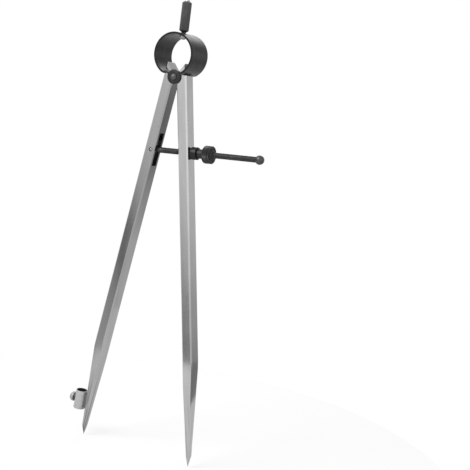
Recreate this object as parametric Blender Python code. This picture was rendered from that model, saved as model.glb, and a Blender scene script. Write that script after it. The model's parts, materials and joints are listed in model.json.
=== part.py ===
"""A bow-spring drawing compass with an adjusting spindle and a pencil sleeve.

Two ground steel legs are pressed on a roller by a flat bow spring, whose slotted ends sit in notches
in the legs. A threaded spindle is pinned in the left leg and passes through a slot in the right leg,
where a thrust washer and a knurled nut hold the legs against the spring. A fluted handle stands on
the bow, and a sleeve beside the left point takes a pencil.

Frame: metres, +Z up, origin at the centre of the handle's top face, X across the legs towards the
nut, -Y at the front. A leg is modelled upright in its own frame: +Z up the leg, the pivot axis at
the origin, and the outward side at +X on the right leg and at -X on the left leg.
"""

from math import atan, cos, hypot, pi, radians, sin, sqrt, tan

import bmesh
import bpy
from mathutils import Matrix, Vector

# Clearance between pieces that touch, and how far a cutter runs past what it cuts
SEAT_GAP = 0.0003
OVERRUN = 0.002

# Legs: square bars with chamfered edges, tapered on the outer side to a ground point
LEG_LENGTH = 0.300
LEG_WIDTH = 0.0084
LEG_DEPTH = 0.0118
LEG_CHAMFER = 0.0010
LEG_INSET = 0.0013
HALF_ANGLE = radians(9.15)
TAPER_LENGTH = 0.0845
POINT_LENGTH = 0.0085
POINT_WIDTH = 0.0022
POINT_DEPTH = 0.0047
HEAD_RISE = 0.0092
HEAD_TOP_WIDTH = 0.0003
HEAD_BEVEL_ANGLE = radians(46.5)

# Pivot: a roller between the legs, a disc on each side, and one rivet through them
ROLLER_RADIUS = 0.0032
DISC_RADIUS = 0.0055
DISC_THICKNESS = 0.0013
DISC_EDGE = 0.0003
RIVET_RADIUS = 0.0016
RIVET_HEAD_RADIUS = 0.0025
RIVET_HEAD_HEIGHT = 0.0013

# Bow spring: a flat band bent into a ring that is open at the bottom
BOW_RADIUS = 0.0164
BOW_THICKNESS = 0.0014
BOW_WIDTH = 0.0244
BOW_RISE = 0.0165
BOW_SEAT_ANGLE = radians(31)
BOW_END_ANGLE = radians(26)
BOW_CORNER = 0.0013
NOTCH_DEPTH = 0.0024
NOTCH_GAP = 0.0004
NOTCH_LOWER_FLARE = radians(9)
NOTCH_UPPER_FLARE = radians(32)

# Handle: a fluted grip on a neck, with a bare tapered tip above it, a threaded tail through the bow
# and a hexagon nut under that
TIP_ROOT_RADIUS = 0.0020
TIP_RADIUS = 0.0016
TIP_HEIGHT = 0.0013
GRIP_RADIUS = 0.0036
GRIP_LENGTH = 0.0228
GRIP_CHAMFER = 0.0009
GRIP_LEAD = 0.0013
FLUTE_COUNT = 24
FLUTE_DEPTH = 0.00028
NECK_RADIUS = 0.0018
NECK_LENGTH = 0.0004
TAIL_RADIUS = 0.0015
TAIL_STUB = 0.0005
HANDLE_NUT_WIDTH = 0.0055
HANDLE_NUT_HEIGHT = 0.0024
HANDLE_NUT_CHAMFER = 0.0003

# Spindle: a threaded rod with an eye on a cross pin in the left leg, and a ball at its far end
SPINDLE_DROP = 0.0580
SPINDLE_INSET = 0.0030
SPINDLE_TILT = radians(2.9)
SPINDLE_RADIUS = 0.0022
SPINDLE_REACH = 0.0894
EYE_RADIUS = 0.0028
EYE_THICKNESS = 0.0056
PIN_RADIUS = 0.00125
PIN_CHAMFER = 0.0003
BALL_RADIUS = 0.0035
SLOT_WIDTH = 0.0064
SLOT_DEPTH = 0.0090
SLOT_LENGTH = 0.0262
SLOT_RISE = 0.0006

# Thrust washer and knurled adjusting nut on the spindle
WASHER_RADIUS = 0.0048
WASHER_THICKNESS = 0.0052
WASHER_CROWN = 0.0006
WASHER_EDGE = 0.0005
HUB_RADIUS = 0.0036
HUB_LENGTH = 0.0053
NUT_RADIUS = 0.0067
NUT_THICKNESS = 0.0066
NUT_SHOULDER = 0.0008
NUT_EDGE = 0.0003
NUT_DISH_RADIUS = 0.0053
NUT_DISH_DEPTH = 0.0005
NUT_GROOVE_PLACE = 0.0018
NUT_GROOVE_WIDTH = 0.0011
NUT_GROOVE_DEPTH = 0.0004
NUT_BOSS_RADIUS = 0.0035
NUT_BOSS_HEIGHT = 0.0010
KNURL_COUNT = 40
KNURL_DEPTH = 0.0004

# Pencil sleeve on a saddle on the left leg's tapered face, with a clamp screw in a threaded bush
SLEEVE_HEIGHT = 0.0279
SLEEVE_RADIUS = 0.0046
SLEEVE_WALL = 0.00065
SLEEVE_LENGTH = 0.0152
SADDLE_THICKNESS = 0.0022
SADDLE_WIDTH = 0.0040
SADDLE_LENGTH = 0.0110
CLAMP_RADIUS = 0.0015
BUSH_RADIUS = 0.0028
BUSH_HEIGHT = 0.0004
CLAMP_REACH = 0.0056
CLAMP_HEAD_RADIUS = 0.0038
CLAMP_RIM = 0.0018
CLAMP_DOME = 0.0024
DRIVER_SLOT_WIDTH = 0.0009
DRIVER_SLOT_DEPTH = 0.0007

# Facets round a turned piece
ROUND_SEGMENTS = 48
SMALL_SEGMENTS = 32
BOW_SEGMENTS = 72
DOME_SEGMENTS = 6

# Places that follow from the sizes above
HANDLE_HEIGHT = NECK_LENGTH + GRIP_LENGTH + TIP_HEIGHT
BOW_TOP = -HANDLE_HEIGHT - SEAT_GAP
BOW_CENTRE = BOW_TOP - BOW_RADIUS
PIVOT_HEIGHT = BOW_CENTRE - BOW_RISE
LEG_OUTSIDE = LEG_INSET + LEG_WIDTH
TAPER_ANGLE = atan((LEG_WIDTH - POINT_WIDTH) / (TAPER_LENGTH - POINT_LENGTH))
DISC_SEAT = LEG_DEPTH / 2 + SEAT_GAP
RIVET_SEAT = DISC_SEAT + DISC_THICKNESS + SEAT_GAP
SPINDLE_OFFSET = LEG_INSET + SPINDLE_INSET
SPINDLE_LEAN = HALF_ANGLE - SPINDLE_TILT
PIN_REACH = SPINDLE_DROP * sin(2 * HALF_ANGLE) + SPINDLE_OFFSET * cos(2 * HALF_ANGLE)
WASHER_STAND = WASHER_RADIUS * abs(sin(SPINDLE_LEAN))
WASHER_PLACE = (PIN_REACH + LEG_OUTSIDE + WASHER_STAND) / cos(SPINDLE_LEAN) + SEAT_GAP
NUT_PLACE = WASHER_PLACE + WASHER_THICKNESS + SEAT_GAP
SLEEVE_OFFSET = SADDLE_THICKNESS + 2 * SEAT_GAP + SLEEVE_RADIUS
SLEEVE_BORE = SLEEVE_RADIUS - SLEEVE_WALL


def clear_scene():
    """Removes what the file opened with."""
    for item in list(bpy.data.objects):
        bpy.data.objects.remove(item, do_unlink=True)


def metal(name, colour, roughness, metallic=1.0):
    """A plain metal finish for one piece."""
    material = bpy.data.materials.new(name)
    material.use_nodes = True
    shader = material.node_tree.nodes["Principled BSDF"]
    shader.inputs["Base Color"].default_value = (*colour, 1.0)
    shader.inputs["Roughness"].default_value = roughness
    shader.inputs["Metallic"].default_value = metallic
    material.diffuse_color = (*colour, 1.0)
    return material


def ground_steel(name):
    """Bright steel with a ground finish, as on the legs."""
    return metal(name, (0.52, 0.52, 0.53), 0.38)


def black_oxide(name):
    """Steel blackened in a hot oxide bath, as on the bow and the spindle."""
    return metal(name, (0.035, 0.036, 0.038), 0.42)


def plated_steel(name):
    """Pale plated steel, as on the sleeve and the small screws."""
    return metal(name, (0.62, 0.62, 0.61), 0.34)


def empty(name, parent=None, location=(0, 0, 0), turn=0.0):
    """A joint's frame, turned about Y inside its parent."""
    frame = bpy.data.objects.new(name, None)
    bpy.context.collection.objects.link(frame)
    frame.parent = parent
    frame.location = location
    frame.rotation_euler = (0, turn, 0)
    return frame


def piece(name, mesh, material, parent):
    """Turns a bmesh into one named sub-part that sits in its parent's frame."""
    bmesh.ops.recalc_face_normals(mesh, faces=mesh.faces[:])
    data = bpy.data.meshes.new(name)
    mesh.to_mesh(data)
    mesh.free()
    data.shade_smooth()
    data.set_sharp_from_angle(angle=radians(35))
    data.materials.append(material)
    part = bpy.data.objects.new(name, data)
    bpy.context.collection.objects.link(part)
    part.parent = parent
    return part


def cutter(name, mesh, parent):
    """A hidden solid that a Boolean takes away from, or adds to, a piece."""
    bmesh.ops.recalc_face_normals(mesh, faces=mesh.faces[:])
    data = bpy.data.meshes.new(name)
    mesh.to_mesh(data)
    mesh.free()
    tool = bpy.data.objects.new(name, data)
    bpy.context.collection.objects.link(tool)
    tool.parent = parent
    tool.hide_render = True
    tool.display_type = "WIRE"
    return tool


def boolean(part, tool, operation="DIFFERENCE"):
    """Cuts a piece with a tool, or joins the tool to it."""
    modifier = part.modifiers.new(tool.name, "BOOLEAN")
    modifier.object = tool
    modifier.operation = operation
    modifier.solver = "EXACT"


def turned(profile, segments, bored=False):
    """Spins (radius, height) points about Z. A bored profile closes on itself, and any other one
    starts and ends on the axis."""
    mesh = bmesh.new()
    points = [mesh.verts.new((radius, 0, height)) for radius, height in profile]
    edges = [mesh.edges.new(pair) for pair in zip(points, points[1:])]
    if bored:
        edges.append(mesh.edges.new((points[-1], points[0])))
    bmesh.ops.spin(mesh, geom=points + edges, axis=(0, 0, 1), cent=(0, 0, 0), angle=2 * pi,
                   steps=segments, use_merge=True)
    bmesh.ops.remove_doubles(mesh, verts=mesh.verts[:], dist=SEAT_GAP / 100)
    return mesh


def cylinder(radius, low, high, segments=ROUND_SEGMENTS):
    """A plain round bar along Z."""
    return turned([(0, low), (radius, low), (radius, high), (0, high)], segments)


def block(low, high):
    """A box between two corners."""
    mesh = bmesh.new()
    size = Vector(high) - Vector(low)
    middle = (Vector(high) + Vector(low)) / 2
    bmesh.ops.create_cube(mesh, size=1, matrix=Matrix.Translation(middle) @ Matrix.Diagonal((*size, 1)))
    return mesh


def prism(outline, depth):
    """A flat outline of (x, z) points, extruded evenly to both sides of Y = 0."""
    mesh = bmesh.new()
    face = mesh.faces.new([mesh.verts.new((x, -depth / 2, z)) for x, z in outline])
    grown = bmesh.ops.extrude_face_region(mesh, geom=[face])
    moved = [item for item in grown["geom"] if isinstance(item, bmesh.types.BMVert)]
    bmesh.ops.translate(mesh, verts=moved, vec=(0, depth, 0))
    bmesh.ops.holes_fill(mesh, edges=[edge for edge in mesh.edges if edge.is_boundary])
    return mesh


def laid_along(mesh, axis):
    """Turns a mesh that was made about Z so that it lies along X or Y."""
    turn = Matrix.Rotation(pi / 2, 4, "Y") if axis == "X" else Matrix.Rotation(-pi / 2, 4, "X")
    bmesh.ops.transform(mesh, matrix=turn, verts=mesh.verts[:])
    return mesh


def moved_by(mesh, x=0.0, y=0.0, z=0.0):
    """Shifts a mesh."""
    bmesh.ops.translate(mesh, verts=mesh.verts[:], vec=(x, y, z))
    return mesh


def dome(radius, height, base, steps=DOME_SEGMENTS):
    """Profile points of a spherical cap, from its rim to the axis."""
    ball = (radius**2 + height**2) / (2 * height)
    half = atan(radius / (ball - height)) if height < ball else pi / 2
    angles = [half * (1 - step / steps) for step in range(steps + 1)]
    return [(ball * sin(angle), base + height - ball * (1 - cos(angle))) for angle in angles]


def pressed_lines(mesh, count, depth, core, low, high):
    """Presses every other line of vertices inwards, outside a core and between two heights, as flutes
    or knurling."""
    step = pi / count
    for vertex in mesh.verts:
        radius = hypot(vertex.co.x, vertex.co.y)
        if low < vertex.co.z < high and radius > core:
            line = round(Vector((1, 0)).angle_signed(vertex.co.to_2d(), 0) / step)
            if line % 2:
                vertex.co.xy *= (radius - depth) / radius
    return mesh


def cut_away(mesh, point, normal):
    """Cuts off what lies beyond a plane and closes the cut."""
    everything = mesh.verts[:] + mesh.edges[:] + mesh.faces[:]
    bmesh.ops.bisect_plane(mesh, geom=everything, plane_co=point, plane_no=normal, clear_outer=True)
    bmesh.ops.holes_fill(mesh, edges=[edge for edge in mesh.edges if edge.is_boundary])


def leg_blank(side):
    """A bar with chamfered edges, tapered to a point below and bevelled above the pivot."""
    mesh = block(
        (min(side * LEG_INSET, side * LEG_OUTSIDE), -LEG_DEPTH / 2, -LEG_LENGTH),
        (max(side * LEG_INSET, side * LEG_OUTSIDE), LEG_DEPTH / 2, HEAD_RISE),
    )
    upright = [edge for edge in mesh.edges if abs((edge.verts[0].co - edge.verts[1].co).z) > LEG_WIDTH]
    bmesh.ops.bevel(mesh, geom=upright, offset=LEG_CHAMFER, segments=1, profile=0.5,
                    affect="EDGES", material=-1)
    side_fall = (LEG_DEPTH - POINT_DEPTH) / 2 / (TAPER_LENGTH - POINT_LENGTH)
    taper_start = TAPER_LENGTH - LEG_LENGTH
    cut_away(mesh, (side * LEG_OUTSIDE, 0, taper_start), (side * cos(TAPER_ANGLE), 0, -sin(TAPER_ANGLE)))
    for front in (-1, 1):
        cut_away(mesh, (0, front * LEG_DEPTH / 2, taper_start), (0, front, -side_fall))
        cut_away(mesh, (0, 0, -LEG_LENGTH), (0, front, -POINT_DEPTH / 2 / POINT_LENGTH))
    cut_away(mesh, (side * LEG_INSET, 0, -LEG_LENGTH), (side, 0, -POINT_WIDTH / POINT_LENGTH))
    bevel_top = (side * (LEG_OUTSIDE - HEAD_TOP_WIDTH), 0, HEAD_RISE)
    cut_away(mesh, bevel_top, (-side * cos(HEAD_BEVEL_ANGLE), 0, sin(HEAD_BEVEL_ANGLE)))
    return mesh


def bow_point_on_leg(radius):
    """Where a point of the bow's seat lies in the leg's frame: (outwards, up the leg)."""
    across = radius * sin(BOW_SEAT_ANGLE)
    above = BOW_RISE - radius * cos(BOW_SEAT_ANGLE)
    return (across * cos(HALF_ANGLE) + above * sin(HALF_ANGLE),
            above * cos(HALF_ANGLE) - across * sin(HALF_ANGLE))


def notch_outline(side):
    """The flared notch for the bow's end: tight at its root, and open enough for the leg's swing."""
    root = LEG_OUTSIDE - NOTCH_DEPTH
    run = NOTCH_DEPTH + OVERRUN
    low = bow_point_on_leg(BOW_RADIUS)[1] - NOTCH_GAP
    high = bow_point_on_leg(BOW_RADIUS - BOW_THICKNESS)[1] + NOTCH_GAP
    return [
        (side * root, low),
        (side * (root + run), low - run * tan(NOTCH_LOWER_FLARE)),
        (side * (root + run), high + run * tan(NOTCH_UPPER_FLARE)),
        (side * root, high),
    ]


def slot_cutter(side):
    """The round milling cutter that leaves the spindle slot: long inside, short outside."""
    radius = ((SLOT_LENGTH / 2) ** 2 + SLOT_DEPTH**2) / (2 * SLOT_DEPTH)
    disc = laid_along(cylinder(radius, -SLOT_WIDTH / 2, SLOT_WIDTH / 2, ROUND_SEGMENTS * 2), "Y")
    return moved_by(disc, x=side * (LEG_INSET + SLOT_DEPTH - radius), z=SLOT_RISE - SPINDLE_DROP)


def leg(name, side, hinge):
    """One leg with its bow notch, roller recess and spindle slot."""
    part = piece(name, leg_blank(side), ground_steel(name + "_steel"), hinge)
    half = LEG_DEPTH / 2 + OVERRUN
    boolean(part, cutter(name + "_notch", prism(notch_outline(side), 2 * half), hinge))
    recess = laid_along(cylinder(ROLLER_RADIUS + SEAT_GAP, -half, half), "Y")
    boolean(part, cutter(name + "_recess", recess, hinge))
    boolean(part, cutter(name + "_slot", slot_cutter(side), hinge))
    return part


def left_leg(hinge):
    """The left leg, with the cross hole for the spindle's pin."""
    part = leg("left_leg", -1, hinge)
    half = LEG_DEPTH / 2 + OVERRUN
    hole = laid_along(cylinder(PIN_RADIUS + SEAT_GAP, -half, half, SMALL_SEGMENTS), "Y")
    moved_by(hole, x=-SPINDLE_OFFSET, z=-SPINDLE_DROP)
    boolean(part, cutter("left_leg_pin_hole", hole, hinge))


def pivot_roller(frame):
    """The roller that both legs bear on, bored for the rivet."""
    end = LEG_DEPTH / 2
    bore = RIVET_RADIUS + SEAT_GAP
    profile = [(bore, -end), (ROLLER_RADIUS, -end), (ROLLER_RADIUS, end), (bore, end)]
    mesh = laid_along(turned(profile, ROUND_SEGMENTS, bored=True), "Y")
    piece("pivot_roller", mesh, ground_steel("pivot_roller_steel"), frame)


def pivot_disc(name, front, frame):
    """A blackened disc that keeps the legs on the roller."""
    bore = RIVET_RADIUS + SEAT_GAP
    outside = DISC_SEAT + DISC_THICKNESS
    profile = [
        (bore, DISC_SEAT),
        (DISC_RADIUS, DISC_SEAT),
        (DISC_RADIUS, outside - DISC_EDGE),
        (DISC_RADIUS - DISC_EDGE, outside),
        (bore, outside),
    ]
    mesh = turned([(radius, front * height) for radius, height in profile], ROUND_SEGMENTS, bored=True)
    piece(name, laid_along(mesh, "Y"), black_oxide(name + "_black"), frame)


def pivot_rivet(frame):
    """The rivet through discs and roller, with a domed head at each end."""
    cap = dome(RIVET_HEAD_RADIUS, RIVET_HEAD_HEIGHT, RIVET_SEAT)
    upper = [(RIVET_RADIUS, RIVET_SEAT)] + cap
    lower = [(radius, -height) for radius, height in reversed(upper)]
    mesh = laid_along(turned(lower + upper, SMALL_SEGMENTS), "Y")
    piece("pivot_rivet", mesh, black_oxide("pivot_rivet_black"), frame)


def bow_spring(frame):
    """The ring of flat spring band, slotted at both ends and pierced for the handle's tail."""
    mesh = bmesh.new()
    inner = BOW_RADIUS - BOW_THICKNESS
    half = BOW_WIDTH / 2
    corners = [(inner, -half), (BOW_RADIUS, -half), (BOW_RADIUS, half), (inner, half)]
    start = Matrix.Rotation(-BOW_END_ANGLE, 3, "Y")
    points = [mesh.verts.new(start @ Vector((0, y, -radius))) for radius, y in corners]
    edges = [mesh.edges.new((points[i - 1], points[i])) for i in range(len(points))]
    spun = bmesh.ops.spin(mesh, geom=points + edges, axis=(0, 1, 0), cent=(0, 0, 0),
                          angle=2 * BOW_END_ANGLE - 2 * pi, steps=BOW_SEGMENTS)
    ends = points + [item for item in spun["geom_last"] if isinstance(item, bmesh.types.BMVert)]
    bmesh.ops.scale(mesh, vec=(1, (half - BOW_CORNER) / half, 1), verts=ends)
    bmesh.ops.holes_fill(mesh, edges=[edge for edge in mesh.edges if edge.is_boundary])
    part = piece("bow_spring", mesh, black_oxide("bow_spring_black"), frame)
    tail_hole = cylinder(TAIL_RADIUS + SEAT_GAP, inner - OVERRUN, BOW_RADIUS + OVERRUN, SMALL_SEGMENTS)
    boolean(part, cutter("bow_tail_hole", tail_hole, frame))
    for side, name in ((-1, "bow_left_slot"), (1, "bow_right_slot")):
        straddle = LEG_DEPTH / 2 + SEAT_GAP
        past = BOW_RADIUS * sin(BOW_SEAT_ANGLE - BOW_END_ANGLE) + OVERRUN
        slot = block((0, -straddle, -BOW_RADIUS - OVERRUN), (past, straddle, OVERRUN - inner))
        bmesh.ops.scale(slot, vec=(-side, 1, 1), verts=slot.verts[:])
        turn = Matrix.Rotation(-side * BOW_SEAT_ANGLE, 4, "Y")
        bmesh.ops.transform(slot, matrix=turn, verts=slot.verts[:])
        boolean(part, cutter(name, slot, frame))


def handle(frame):
    """The fluted grip on its neck, and the tail that goes down through the bow."""
    foot = -HANDLE_HEIGHT
    shoulder = foot + NECK_LENGTH
    rim = -TIP_HEIGHT
    tail_end = BOW_TOP - BOW_THICKNESS - SEAT_GAP - HANDLE_NUT_HEIGHT - TAIL_STUB
    profile = [
        (0, tail_end),
        (TAIL_RADIUS, tail_end),
        (TAIL_RADIUS, foot),
        (NECK_RADIUS, foot),
        (NECK_RADIUS, shoulder),
        (GRIP_RADIUS, shoulder + GRIP_LEAD),
        (GRIP_RADIUS, rim - GRIP_CHAMFER),
        (GRIP_RADIUS - GRIP_CHAMFER, rim),
        (TIP_ROOT_RADIUS, rim),
        (TIP_RADIUS, 0),
        (0, 0),
    ]
    mesh = turned(profile, 2 * FLUTE_COUNT)
    low = shoulder + GRIP_LEAD / 2
    high = rim - GRIP_CHAMFER / 2
    pressed_lines(mesh, FLUTE_COUNT, FLUTE_DEPTH, NECK_RADIUS, low, high)
    piece("handle", mesh, black_oxide("handle_black"), frame)


def handle_nut(frame):
    """The hexagon nut on the handle's tail, inside the bow."""
    top = BOW_TOP - BOW_THICKNESS - SEAT_GAP
    across_corners = HANDLE_NUT_WIDTH / cos(pi / 6) / 2
    mesh = bmesh.new()
    bmesh.ops.create_cone(mesh, cap_ends=True, segments=6, radius1=across_corners,
                          radius2=across_corners, depth=HANDLE_NUT_HEIGHT)
    moved_by(mesh, z=top - HANDLE_NUT_HEIGHT / 2)
    rims = [edge for edge in mesh.edges if abs((edge.verts[0].co - edge.verts[1].co).z) < SEAT_GAP]
    bmesh.ops.bevel(mesh, geom=rims, offset=HANDLE_NUT_CHAMFER, segments=1, profile=0.5,
                    affect="EDGES", material=-1)
    part = piece("handle_nut", mesh, plated_steel("handle_nut_steel"), frame)
    hole = cylinder(TAIL_RADIUS + SEAT_GAP, top - HANDLE_NUT_HEIGHT - OVERRUN, top + OVERRUN,
                    SMALL_SEGMENTS)
    boolean(part, cutter("handle_nut_bore", hole, frame))


def spindle(frame):
    """The threaded rod, flattened to an eye that turns on the cross pin."""
    rod = laid_along(cylinder(SPINDLE_RADIUS, 0, SPINDLE_REACH, SMALL_SEGMENTS), "X")
    part = piece("spindle", rod, black_oxide("spindle_black"), frame)
    half = EYE_THICKNESS / 2
    eye = laid_along(cylinder(EYE_RADIUS, -half, half, SMALL_SEGMENTS), "Y")
    boolean(part, cutter("spindle_eye", eye, frame), "UNION")
    run = half + OVERRUN
    bore = laid_along(cylinder(PIN_RADIUS + SEAT_GAP, -run, run, SMALL_SEGMENTS), "Y")
    boolean(part, cutter("spindle_eye_bore", bore, frame))


def spindle_pin(hinge):
    """The cross pin that the spindle turns on, flush with the left leg's faces."""
    end = LEG_DEPTH / 2
    rim = PIN_RADIUS - PIN_CHAMFER
    profile = [
        (0, -end),
        (rim, -end),
        (PIN_RADIUS, PIN_CHAMFER - end),
        (PIN_RADIUS, end - PIN_CHAMFER),
        (rim, end),
        (0, end),
    ]
    mesh = laid_along(turned(profile, SMALL_SEGMENTS), "Y")
    moved_by(mesh, x=-SPINDLE_OFFSET, z=-SPINDLE_DROP)
    piece("spindle_pin", mesh, ground_steel("spindle_pin_steel"), hinge)


def spindle_ball(frame):
    """The ball that stops the nut, with a blind hole for the rod's end."""
    bore = SPINDLE_RADIUS + SEAT_GAP
    mouth = -sqrt(BALL_RADIUS**2 - bore**2)
    steps = 2 * DOME_SEGMENTS
    start = atan(bore / -mouth)
    angles = [start + (pi - start) * step / steps for step in range(steps + 1)]
    skin = [(BALL_RADIUS * sin(angle), -BALL_RADIUS * cos(angle)) for angle in angles]
    profile = [(0, SEAT_GAP), (bore, SEAT_GAP)] + skin
    mesh = laid_along(turned(profile, SMALL_SEGMENTS), "X")
    piece("spindle_ball", moved_by(mesh, x=SPINDLE_REACH), black_oxide("spindle_ball_black"), frame)


def thrust_washer(frame):
    """The washer between the right leg and the nut, crowned towards the leg."""
    bore = SPINDLE_RADIUS + SEAT_GAP
    crown = [
        (WASHER_RADIUS - WASHER_CROWN * (1 - cos(angle)), WASHER_CROWN * (1 - sin(angle)))
        for angle in (0, pi / 6, pi / 3, pi / 2)
    ]
    rim = [(WASHER_RADIUS - WASHER_EDGE, WASHER_THICKNESS), (WASHER_RADIUS, WASHER_THICKNESS - WASHER_EDGE)]
    profile = [(bore, WASHER_THICKNESS)] + rim + crown + [(bore, 0)]
    mesh = laid_along(turned(profile, ROUND_SEGMENTS, bored=True), "X")
    piece("thrust_washer", moved_by(mesh, x=WASHER_PLACE), black_oxide("thrust_washer_black"), frame)


def adjusting_nut(frame):
    """The knurled nut with its long hub, a groove round its rim and a dished face round a boss."""
    bore = SPINDLE_RADIUS + SEAT_GAP
    back = HUB_LENGTH
    front = HUB_LENGTH + NUT_THICKNESS
    groove = front - NUT_GROOVE_PLACE
    core = NUT_RADIUS - NUT_GROOVE_DEPTH
    profile = [
        (bore, 0),
        (HUB_RADIUS, 0),
        (HUB_RADIUS, back),
        (NUT_RADIUS - NUT_SHOULDER, back),
        (NUT_RADIUS, back + NUT_SHOULDER),
        (NUT_RADIUS, groove - NUT_GROOVE_WIDTH / 2),
        (core, groove),
        (NUT_RADIUS, groove + NUT_GROOVE_WIDTH / 2),
        (NUT_RADIUS, front - NUT_EDGE),
        (NUT_RADIUS - NUT_EDGE, front),
        (NUT_DISH_RADIUS, front),
        (NUT_DISH_RADIUS - NUT_DISH_DEPTH, front - NUT_DISH_DEPTH),
        (NUT_BOSS_RADIUS + NUT_DISH_DEPTH, front - NUT_DISH_DEPTH),
        (NUT_BOSS_RADIUS, front + NUT_BOSS_HEIGHT),
        (bore, front + NUT_BOSS_HEIGHT),
    ]
    mesh = turned(profile, 2 * KNURL_COUNT, bored=True)
    low = back + NUT_SHOULDER / 2
    high = front - NUT_EDGE / 2
    pressed_lines(mesh, KNURL_COUNT, KNURL_DEPTH, core + SEAT_GAP / 2, low, high)
    mesh = laid_along(mesh, "X")
    piece("adjusting_nut", moved_by(mesh, x=NUT_PLACE), black_oxide("adjusting_nut_black"), frame)


def sleeve_saddle(seat):
    """The block between the leg's tapered face and the sleeve, hollowed to the sleeve."""
    mesh = block(
        (-SLEEVE_OFFSET, -SADDLE_WIDTH / 2, -SADDLE_LENGTH / 2),
        (-SEAT_GAP, SADDLE_WIDTH / 2, SADDLE_LENGTH / 2),
    )
    part = piece("sleeve_saddle", mesh, plated_steel("sleeve_saddle_steel"), seat)
    hollow = cylinder(SLEEVE_RADIUS + SEAT_GAP, -SADDLE_LENGTH, SADDLE_LENGTH)
    boolean(part, cutter("saddle_hollow", moved_by(hollow, x=-SLEEVE_OFFSET), seat))


def pencil_sleeve(seat):
    """The open tube for the pencil, with a hole for the clamp screw."""
    end = SLEEVE_LENGTH / 2
    profile = [(SLEEVE_BORE, -end), (SLEEVE_RADIUS, -end), (SLEEVE_RADIUS, end), (SLEEVE_BORE, end)]
    tube = moved_by(turned(profile, ROUND_SEGMENTS, bored=True), x=-SLEEVE_OFFSET)
    part = piece("pencil_sleeve", tube, plated_steel("pencil_sleeve_steel"), seat)
    hole = cylinder(CLAMP_RADIUS + SEAT_GAP, 0, SLEEVE_RADIUS + OVERRUN, SMALL_SEGMENTS)
    hole = laid_along(hole, "X")
    bmesh.ops.scale(hole, vec=(-1, 1, 1), verts=hole.verts[:])
    boolean(part, cutter("sleeve_screw_hole", moved_by(hole, x=-SLEEVE_OFFSET), seat))


def clamp_bush(axis):
    """The threaded bush on the sleeve's outer side, hollowed to the sleeve."""
    bore = CLAMP_RADIUS + SEAT_GAP
    face = SLEEVE_RADIUS + SEAT_GAP + BUSH_HEIGHT
    profile = [(bore, 0), (BUSH_RADIUS, 0), (BUSH_RADIUS, face), (bore, face)]
    mesh = laid_along(turned(profile, SMALL_SEGMENTS, bored=True), "X")
    part = piece("clamp_bush", mesh, black_oxide("clamp_bush_black"), axis)
    hollow = cylinder(SLEEVE_RADIUS + SEAT_GAP, -SLEEVE_LENGTH, SLEEVE_LENGTH)
    boolean(part, cutter("bush_hollow", hollow, axis))


def clamp_screw(axis):
    """The screw that holds the pencil, with a domed and slotted head."""
    tip = SLEEVE_BORE + SEAT_GAP
    rim = CLAMP_REACH + CLAMP_RIM
    profile = [
        (0, tip),
        (CLAMP_RADIUS, tip),
        (CLAMP_RADIUS, CLAMP_REACH),
        (CLAMP_HEAD_RADIUS, CLAMP_REACH),
    ] + dome(CLAMP_HEAD_RADIUS, CLAMP_DOME, rim)
    mesh = laid_along(turned(profile, SMALL_SEGMENTS), "X")
    part = piece("clamp_screw", mesh, plated_steel("clamp_screw_steel"), axis)
    top = rim + CLAMP_DOME
    half = DRIVER_SLOT_WIDTH / 2
    slot = block(
        (top - DRIVER_SLOT_DEPTH, -half, -CLAMP_HEAD_RADIUS - OVERRUN),
        (top + OVERRUN, half, CLAMP_HEAD_RADIUS + OVERRUN),
    )
    boolean(part, cutter("clamp_driver_slot", slot, axis))


def build():
    """Sets out the joints' frames and makes every piece in its own."""
    clear_scene()
    top = empty("handle_top")
    bow = empty("bow_axis", top, (0, 0, BOW_CENTRE))
    pivot = empty("pivot_axis", top, (0, 0, PIVOT_HEIGHT))
    left = empty("left_leg_hinge", pivot, turn=HALF_ANGLE)
    right = empty("right_leg_hinge", pivot, turn=-HALF_ANGLE)
    pin = empty("spindle_hinge", left, (-SPINDLE_OFFSET, 0, -SPINDLE_DROP), -HALF_ANGLE - SPINDLE_TILT)
    seat_out = LEG_INSET + POINT_WIDTH + (SLEEVE_HEIGHT - POINT_LENGTH) * tan(TAPER_ANGLE)
    seat = empty("sleeve_seat", left, (-seat_out, 0, SLEEVE_HEIGHT - LEG_LENGTH), -TAPER_ANGLE)
    clamp = empty("clamp_axis", seat, (-SLEEVE_OFFSET, 0, 0), pi)

    bow_spring(bow)
    handle(top)
    handle_nut(top)
    pivot_roller(pivot)
    pivot_disc("front_pivot_disc", -1, pivot)
    pivot_disc("rear_pivot_disc", 1, pivot)
    pivot_rivet(pivot)
    left_leg(left)
    leg("right_leg", 1, right)
    spindle(pin)
    spindle_pin(left)
    spindle_ball(pin)
    thrust_washer(pin)
    adjusting_nut(pin)
    sleeve_saddle(seat)
    pencil_sleeve(seat)
    clamp_bush(clamp)
    clamp_screw(clamp)


build()
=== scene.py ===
"""A bow-spring drawing compass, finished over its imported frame.

The legs, bow, discs, roller, cross pin, sleeve, saddle, bush and the nut under the handle are the
frame's own solids with their sharp edges eased. The handle, spindle, adjusting nut, washer, rivet,
ball and clamp screw are made again, with the fluting, threads, knurling and domes that the real ones
have. Sizes are in metres, in the frame's own axes: +Z up, -Y at the front.
"""
import json
from math import asin, cos, hypot, pi, radians, sin

import bmesh
import bpy
from mathutils import Matrix, Vector


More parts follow.
